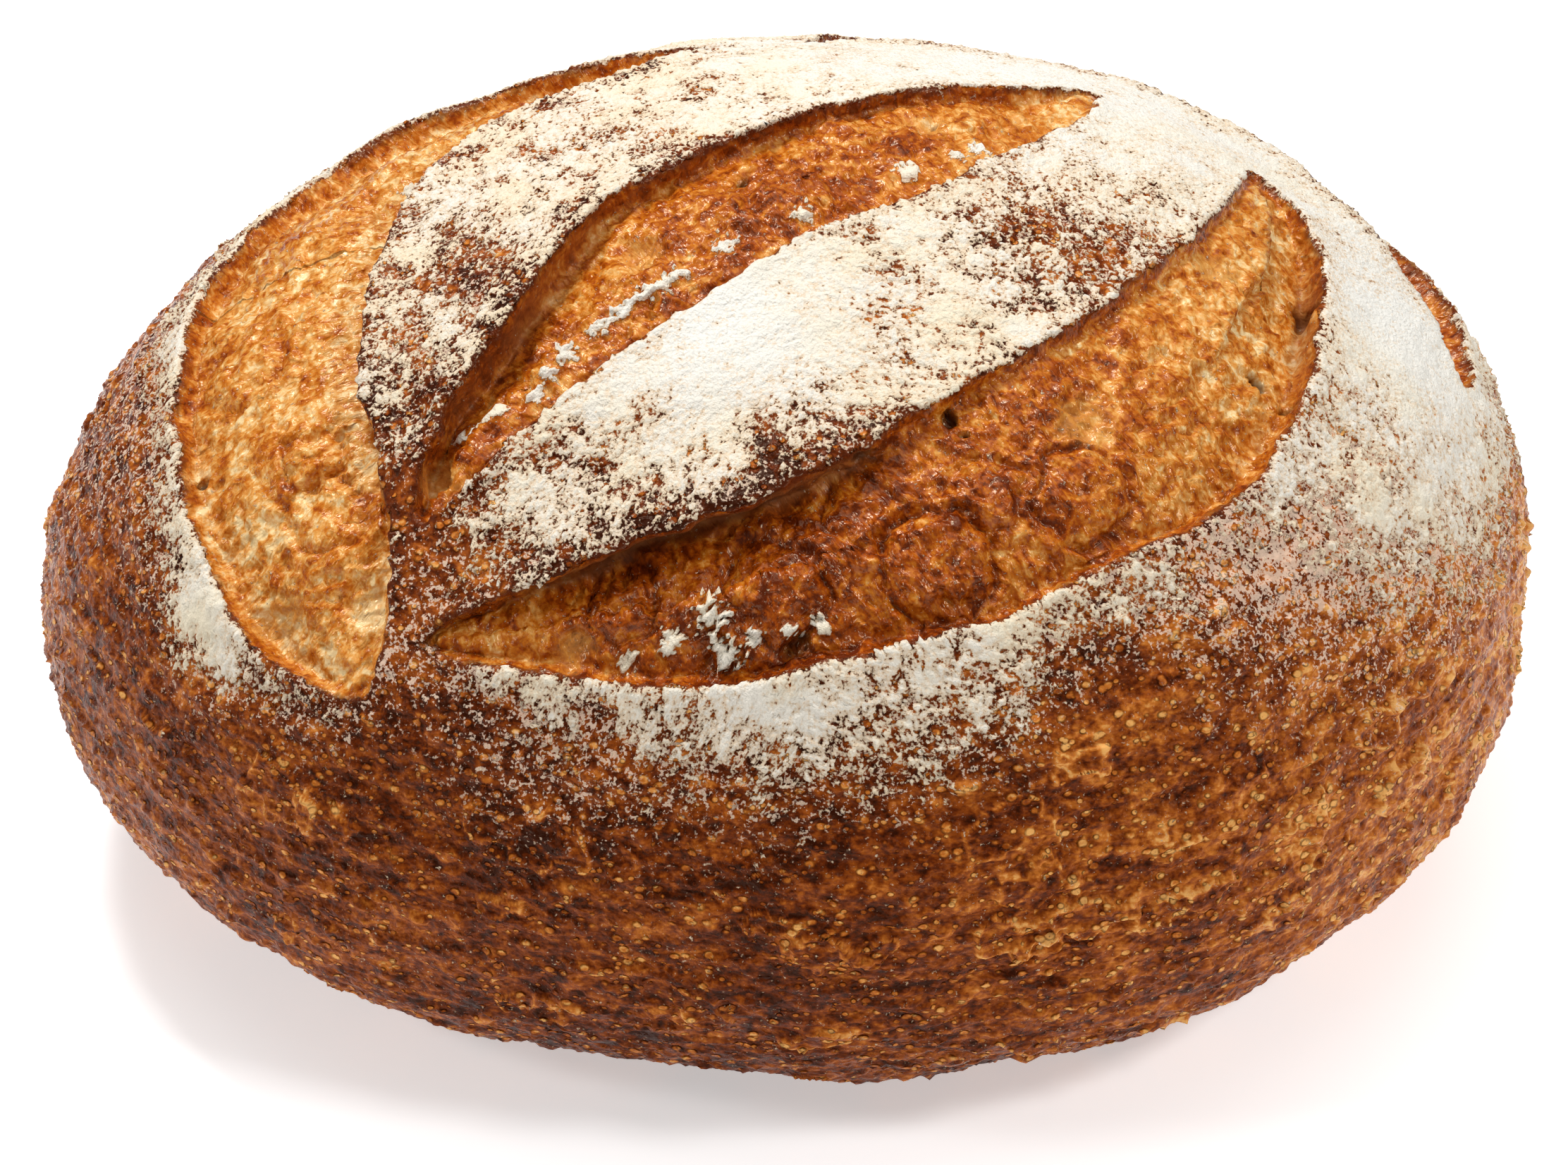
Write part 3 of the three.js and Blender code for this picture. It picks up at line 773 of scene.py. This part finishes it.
class Shader:
    """Short calls that add nodes to one material and join them."""

    def __init__(self, name):
        self.material = bpy.data.materials.new(name)
        self.material.use_nodes = True
        self.nodes = self.material.node_tree.nodes
        self.nodes.clear()
        self.place = self.add("ShaderNodeTexCoord").outputs["Object"]

    def add(self, kind, **settings):
        node = self.nodes.new(kind)
        for key, value in settings.items():
            setattr(node, key, value)
        return node

    def feed(self, socket, value):
        if isinstance(value, bpy.types.NodeSocket):
            self.material.node_tree.links.new(value, socket)
        else:
            socket.default_value = value

    def sum(self, operation, first, second):
        node = self.add("ShaderNodeMath", operation=operation)
        self.feed(node.inputs[0], first)
        self.feed(node.inputs[1], second)
        return node.outputs[0]

    def plus(self, *values):
        """The sum of all the values."""
        total = values[0]
        for value in values[1:]:
            total = self.sum("ADD", total, value)
        return total

    def times(self, first, second):
        return self.sum("MULTIPLY", first, second)

    def rest(self, share):
        """What a share leaves of 1."""
        return self.plus(1.0, self.times(share, -1.0))

    def blend(self, share, first, second):
        """The first colour where share is 0, the second where it is 1."""
        node = self.add("ShaderNodeMix", data_type="RGBA")
        self.feed(node.inputs["Factor"], share)
        self.feed(node.inputs[6], first)
        self.feed(node.inputs[7], second)
        return node.outputs[2]

    def step(self, value, low, high):
        """0 at low and 1 at high."""
        node = self.add("ShaderNodeMapRange", interpolation_type="SMOOTHSTEP")
        flipped = low > high
        self.feed(node.inputs["Value"], value)
        self.feed(node.inputs["From Min"], high if flipped else low)
        self.feed(node.inputs["From Max"], low if flipped else high)
        self.feed(node.inputs["To Min"], 1.0 if flipped else 0.0)
        self.feed(node.inputs["To Max"], 0.0 if flipped else 1.0)
        return node.outputs[0]

    def value(self, name):
        """The number that the mesh holds under this name."""
        return self.add("ShaderNodeAttribute", attribute_name=name).outputs["Fac"]

    def vector(self, name):
        """The place that the mesh holds under this name."""
        return self.add("ShaderNodeAttribute", attribute_name=name).outputs["Vector"]

    def stretch(self, vector, amounts):
        node = self.add("ShaderNodeMapping")
        self.feed(node.inputs["Vector"], vector)
        node.inputs["Scale"].default_value = amounts
        return node.outputs[0]

    def noise(self, size, detail=2.0, vector=None, distortion=0.0, kind="FBM"):
        """Noise from 0 to 1 with features of this size, in the vector's unit."""
        node = self.add("ShaderNodeTexNoise", noise_type=kind)
        self.feed(node.inputs["Vector"], self.place if vector is None else vector)
        node.inputs["Scale"].default_value = 1 / size
        node.inputs["Detail"].default_value = detail
        node.inputs["Distortion"].default_value = distortion
        return node.outputs["Fac"]

    def domes(self, size, vector, share):
        """Round domes, 1 at their middles, in this share of cells of this size."""
        node = self.add("ShaderNodeTexVoronoi")
        self.feed(node.inputs["Vector"], vector)
        node.inputs["Scale"].default_value = 1 / size
        chosen = self.step(node.outputs["Color"], 1 - share, 1.05 - share)
        return self.times(self.step(node.outputs["Distance"], 0.45, 0.25), chosen)

    def ramp(self, value, stops):
        """The colour at value, blended between the stops, which are positions and colours."""
        node = self.add("ShaderNodeValToRGB")
        self.feed(node.inputs[0], value)
        elements = node.color_ramp.elements
        while len(elements) < len(stops):
            elements.new(0.5)
        for element, (position, colour) in zip(elements, stops):
            element.position = position
            element.color = colour
        return node.outputs[0]

    def bump(self, height, depth):
        """A shading normal from height, whose unit stands depth above the surface."""
        node = self.add("ShaderNodeBump")
        node.inputs["Distance"].default_value = depth
        node.inputs["Strength"].default_value = 1
        self.feed(node.inputs["Height"], height)
        return node.outputs[0]

    def finish(self, **inputs):
        """Sets or joins the named inputs of the surface's one shader, and returns the material."""
        shader = self.add("ShaderNodeBsdfPrincipled")
        for key, value in inputs.items():
            self.feed(shader.inputs[key.replace("_", " ")], value)
        output = self.add("ShaderNodeOutputMaterial")
        self.feed(output.inputs["Surface"], shader.outputs[0])
        return self.material


def swing(s, noise, amount):
    """Turns noise from 0 to 1 into a change of about half this amount either way."""
    return s.times(s.plus(noise, -0.5), amount)


def crust_colour(s, drawn, cells, wrinkle):
    """Dark mottled crust with lighter amber blisters, partly their own colour and partly painted shade
    in the crevices round them, and wrinkles painted lighter on their crests and darker in their creases
    as shade.
    """
    level = s.plus(
        s.value("browning_and_side_light"),
        swing(s, s.noise(3.4 * MM, 4, drawn, 0.8), 1.3),
        swing(s, s.noise(0.8 * MM, 2, drawn), 0.8),
        # Painted shade and light: the wrinkles' creases darker and their crests lighter.
        s.times(s.step(wrinkle, 0.5, 1.3), 0.22),
        # Blister domes lighter: partly their own amber colour, partly painted shade in the crevices
        # between them.
        s.times(cells, 0.38),
        s.times(s.value("blister"), 0.3),
        -0.17,
        s.times(s.value("flake"), 0.4),
    )
    return s.ramp(level, [
        (0.1, srgb(50, 16, 4)), (0.32, srgb(96, 37, 8)), (0.54, srgb(142, 68, 18)),
        (0.78, srgb(190, 110, 40)), (1.0, srgb(224, 164, 92)),
    ])


def dough_colour(s, crinkle):
    """Golden to red-brown, glossy dough, darker where it stands proud, and painted dark in its holes as
    shade.
    """
    strand = s.noise(0.9, 4, s.stretch(s.vector("run"), (0.35, 1, 1)), 0.8)
    level = s.plus(
        s.value("bake"),
        swing(s, strand, 0.5),
        swing(s, s.noise(4 * MM, 4, None, 1.2), 1.5),
        swing(s, s.noise(1.1 * MM, 3, None, 0.8), 0.9),
        s.times(s.step(crinkle, 0.9, 1.5), 0.34),
        s.times(s.value("ring"), 0.34),
        s.times(s.step(s.value("opening"), 3, 0.5), 0.22),
        s.times(s.value("proud"), 0.14),
    )
    colour = s.ramp(level, [
        (0.0, srgb(234, 204, 150)), (0.25, srgb(214, 152, 76)), (0.48, srgb(188, 106, 24)),
        (0.72, srgb(152, 66, 6)), (1.0, srgb(92, 30, 3)),
    ])
    colour = s.blend(s.times(s.value("window"), 0.4), colour, srgb(206, 150, 76))
    # Painted shade: the holes' insides are painted dark brown, for the shadow that falls in them.
    return s.blend(s.value("hole_and_shade"), colour, srgb(84, 38, 14))


def flour_colour(s, lay):
    """Off-white, creamier in patches, and browner where it lies thin."""
    warm = s.noise(14 * MM, 2)
    cream = s.blend(s.step(warm, 0.35, 0.65), srgb(225, 213, 188), srgb(224, 217, 204))
    cream = s.blend(s.value("even_flour"), cream, srgb(226, 223, 215))
    return s.blend(s.step(lay, 0.9, 0.1), cream, srgb(214, 188, 156))


def bread_height(s, is_dough, covered, crinkle, cells, wrinkle):
    """The finest relief: grain in the flour, threads in the dough and blisters on bare crust."""
    strand = s.noise(0.8, 2, s.stretch(s.vector("run"), (0.35, 1, 1)), 0.8)
    fineness = s.sum("MAXIMUM", s.plus(0.2, s.times(is_dough, -0.14)), s.times(covered, 0.5))
    bare = s.times(s.rest(is_dough), s.rest(covered))
    return s.plus(
        s.times(s.noise(0.6 * MM, 3), fineness),
        s.times(s.plus(s.times(strand, 0.28), s.times(crinkle, 0.5)), is_dough),
        s.times(s.plus(s.times(cells, 0.75), s.times(wrinkle, 0.4)), bare),
    )


def bread_roughness(s, is_dough, covered):
    """Glossy dough and crust, dull under the ears and in the flour."""
    rough = s.blend(is_dough, grey(0.28), grey(0.22))
    rough = s.blend(s.times(s.value("under_ear"), 0.8), rough, grey(0.7))
    rough = s.blend(covered, rough, grey(0.95))
    return s.plus(rough, swing(s, s.noise(1.5 * MM, 2), 0.2))


def make_bread_material(name, shine, tint):
    """Crust, dough and flour in one surface; the crust and the dough differ in how they shine."""
    s = Shader(name)
    ragged = s.plus(s.value("opening"), swing(s, s.noise(0.9 * MM, 3), 1.2))
    is_dough = s.step(ragged, -0.15, 0.25)
    drawn = s.stretch(s.place, (0.8, 0.8, 1.15))
    cells = s.plus(s.domes(1.9 * MM, drawn, 0.42), s.domes(1.2 * MM, drawn, 0.32))
    crinkle = s.noise(2.2 * MM, 1, None, 0.8, "RIDGED_MULTIFRACTAL")
    wrinkle = s.noise(1.8 * MM, 1, drawn, 1.0, "RIDGED_MULTIFRACTAL")
    wall = s.blend(s.noise(2 * MM, 3), srgb(96, 44, 16), srgb(166, 98, 46))
    dough = s.blend(s.times(s.value("under_ear"), 0.85), dough_colour(s, crinkle), wall)
    colour = s.blend(is_dough, crust_colour(s, drawn, cells, wrinkle), dough)
    burnt = s.times(s.step(ragged, -1.4, -0.2), s.step(ragged, 1.0, 0.2))
    burnt = s.times(burnt, s.step(s.noise(6 * MM, 2), 0.35, 0.6))
    colour = s.blend(s.times(burnt, 0.75), colour, srgb(88, 35, 14))

    grain, coarse = s.noise(0.5 * MM, 2), s.noise(1.3 * MM, 2)
    dusted = s.plus(s.value("film"), s.plus(swing(s, grain, 2.2), swing(s, coarse, 2.0)))
    dusted = s.times(s.step(dusted, 0.45, 0.75), s.step(s.value("film"), 0.05, 0.3))
    colour = s.blend(s.times(dusted, 0.7), colour, srgb(232, 204, 180))
    lay = s.plus(s.value("flour"), s.plus(swing(s, grain, 1.5), swing(s, coarse, 0.8)))
    covered = s.step(lay, 0.05, 0.32)
    return s.finish(
        Base_Color=s.blend(covered, colour, flour_colour(s, lay)),
        Roughness=bread_roughness(s, is_dough, covered),
        Normal=s.bump(bread_height(s, is_dough, covered, crinkle, cells, wrinkle), BUMP_DEPTH),
        Specular_IOR_Level=shine,
        Specular_Tint=tint,
    )


# ---------------------------------------------------------------- Stage, lights and camera

FLOOR_GLOW = 0.45
WORLD_LIGHT = 0.2
SOFTBOXES = [  # name, place and size in metres, power in watts
    ("overhead_softbox", (0, 0.2, 1.2), 1.1, 6),
    ("key_softbox", (-0.3, 0.4, 1.05), 0.22, 7.5),
    ("left_softbox", (-1.2, -0.4, 0.9), 0.25, 5),
    ("right_softbox", (0.9, -0.5, 1.1), 0.25, 8),
]
CAMERA_ELEVATION = 37  # degrees above the table
CAMERA_DISTANCE = 0.8
CAMERA_TARGET = (-0.0005, -0.0003, 0.0433)
CAMERA_LENS, CAMERA_SENSOR = 108.5, 36


def make_floor():
    """A plain white table top that is lit a little from below too, so that shadows stay pale."""
    size = 8  # metres from its middle to each side
    mesh = bpy.data.meshes.new("floor")
    mesh.from_pydata(
        [(-size, -size, 0), (size, -size, 0), (size, size, 0), (-size, size, 0)], [], [(0, 1, 2, 3)]
    )
    floor = bpy.data.objects.new("floor", mesh)
    bpy.context.scene.collection.objects.link(floor)
    s = Shader("white_table")
    paint = s.blend(s.noise(0.02, 2), grey(0.93), grey(0.95))
    glow = dict(Emission_Color=grey(1), Emission_Strength=FLOOR_GLOW)
    mesh.materials.append(s.finish(Base_Color=paint, Roughness=0.8, **glow))


def make_softbox(name, place, size, power):
    """A square lamp at place, in metres, that faces the loaf."""
    lamp = bpy.data.lights.new(name, "AREA")
    lamp.shape = "SQUARE"
    lamp.size = size
    lamp.energy = power
    holder = bpy.data.objects.new(name, lamp)
    holder.location = place
    towards_loaf = Vector((0, 0, 0.06)) - Vector(place)
    holder.rotation_euler = towards_loaf.to_track_quat("-Z", "Y").to_euler()
    bpy.context.scene.collection.objects.link(holder)


def make_lights():
    """The softboxes and a dim white surround."""
    for name, place, size, power in SOFTBOXES:
        make_softbox(name, place, size, power)
    world = bpy.data.worlds.new("studio")
    world.use_nodes = True
    background = world.node_tree.nodes["Background"]
    background.inputs["Color"].default_value = grey(1)
    background.inputs["Strength"].default_value = WORLD_LIGHT
    bpy.context.scene.world = world
    bpy.context.scene.view_settings.view_transform = "Standard"


def make_camera():
    """The photograph's view, square to the loaf's long side and looking down on it."""
    elevation = math.radians(CAMERA_ELEVATION)
    camera = bpy.data.cameras.new("camera")
    camera.sensor_width, camera.lens = CAMERA_SENSOR, CAMERA_LENS
    camera.clip_end = 50
    holder = bpy.data.objects.new("camera", camera)
    back = Vector((0, -math.cos(elevation), math.sin(elevation)))
    holder.location = Vector(CAMERA_TARGET) + back * CAMERA_DISTANCE
    holder.rotation_euler = (-back).to_track_quat("-Z", "Y").to_euler()
    bpy.context.scene.collection.objects.link(holder)
    bpy.context.scene.camera = holder


make_loaf()
make_floor()
make_lights()
make_camera()
